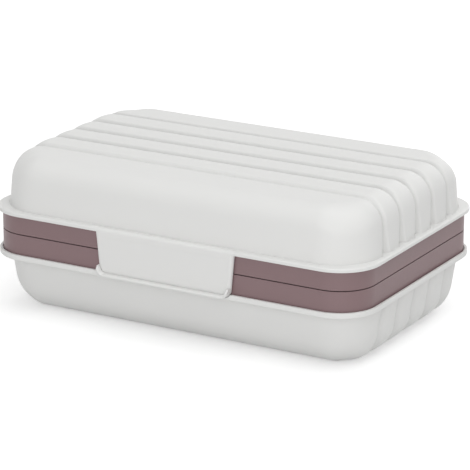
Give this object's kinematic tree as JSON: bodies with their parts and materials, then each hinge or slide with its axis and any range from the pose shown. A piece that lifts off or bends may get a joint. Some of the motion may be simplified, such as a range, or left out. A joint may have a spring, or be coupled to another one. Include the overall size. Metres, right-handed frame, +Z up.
{
  "type": "travel soap box",
  "caption": "Fluted travel soap box: white plastic lid and base on a mauve band, rear pin hinges, front latch flap with finger lip, sealed rim and a slotted lift-out drain tray.",
  "frame": {"origin": "centre of the closed box's footprint, on the surface it stands on", "axes": "+Z up, +X along the length, latch flap towards -Y, hinges towards +Y"},
  "size_m": [0.1198, 0.0808, 0.0455],
  "materials": {
    "white_plastic": "satin moulded polypropylene",
    "mauve_plastic": "satin moulded plastic, dusty mauve",
    "seal": "soft translucent-white silicone",
    "steel": "drawn wire",
    "tray_plastic": "satin moulded polypropylene"
  },
  "bodies": {
    "base": {"base_shell": "white_plastic", "base_ring": "mauve_plastic", "hinge_pin_left": "steel", "hinge_pin_right": "steel"},
    "cover": {"cover_shell": "white_plastic", "cover_ring": "mauve_plastic", "seal_ring": "seal"},
    "latch": {"latch_flap": "white_plastic"},
    "tray": {"drain_tray": "tray_plastic"}
  },
  "joints": [
    {"name": "lid_hinge", "type": "hinge", "parent": "base", "child": "cover", "pos_m": [0, 0.0388, 0.024], "axis": [-1, 0, 0], "range_deg": [0, 120]},
    {"name": "latch_hinge", "type": "hinge", "parent": "cover", "child": "latch", "pos_m": [0, -0.03865, 0.02955], "axis": [-1, 0, 0], "range_deg": [0, 110]},
    {"name": "tray_lift", "type": "slide", "parent": "base", "child": "tray", "axis": [0, 0, 1], "range_m": [0, 0.025]}
  ]
}
